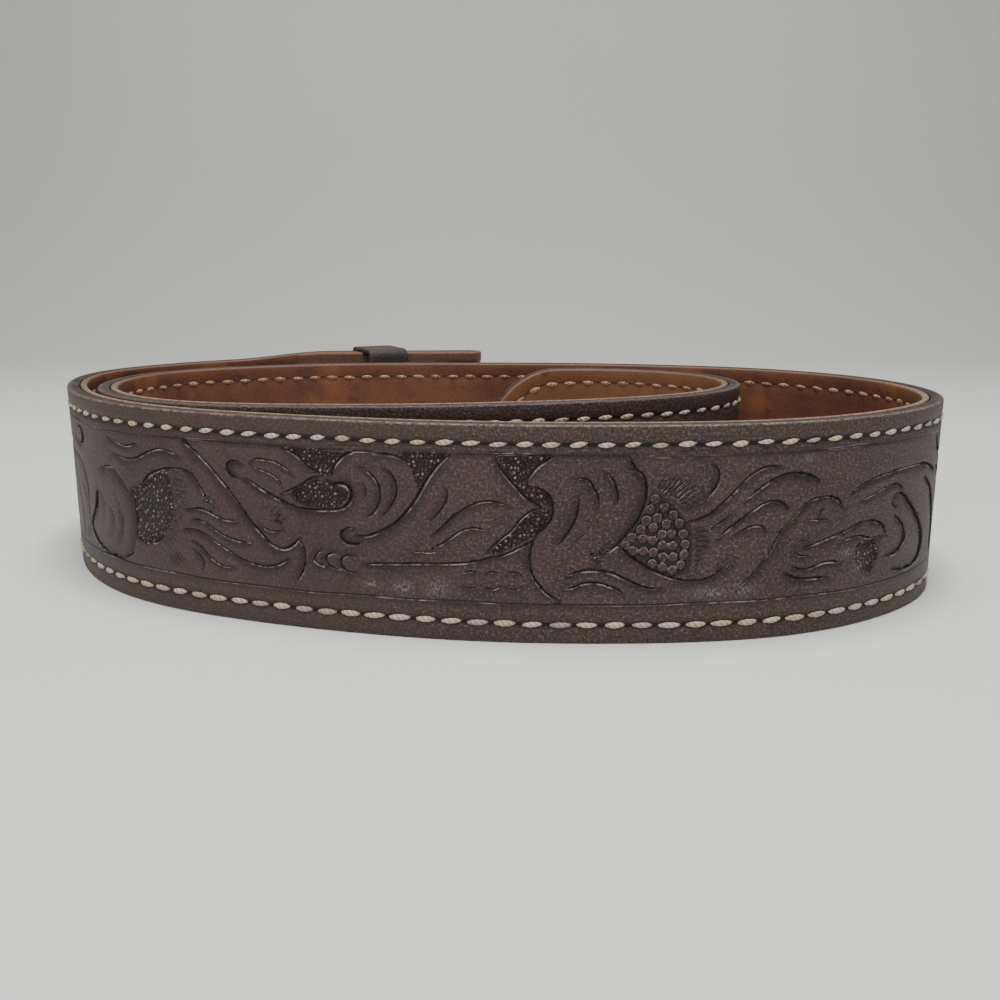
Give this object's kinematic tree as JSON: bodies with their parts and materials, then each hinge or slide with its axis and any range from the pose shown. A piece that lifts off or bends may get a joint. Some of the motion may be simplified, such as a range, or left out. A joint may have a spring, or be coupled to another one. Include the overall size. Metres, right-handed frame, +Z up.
{
  "type": "western tooled leather belt, coiled, without its buckle",
  "caption": "Western belt of floral tooled leather with a sewn lining, folded buckle end, loose keeper and rounded tip, coiled on its edge.",
  "frame": {"origin": "middle of the belt's bounding box, on the plane that its lower edge rests on", "axes": "+Z up across the strap's width, +X along the long way of the coil, to the right of somebody who looks at the tooled front, +Y away from them"},
  "size_m": [0.1864, 0.1226, 0.0418],
  "materials": {
    "tooled_leather": "antiqued dark brown, satin, worn lighter at the edges",
    "lining_leather": "russet brown, soft satin",
    "keeper_leather": "dark brown, satin",
    "stud_metal": "worn nickel"
  },
  "bodies": {
    "root": {"strap": "tooled_leather", "lining": "lining_leather", "keeper": "keeper_leather", "stud_near_fold": "stud_metal", "stud_near_flap_end": "stud_metal"}
  },
  "joints": []
}
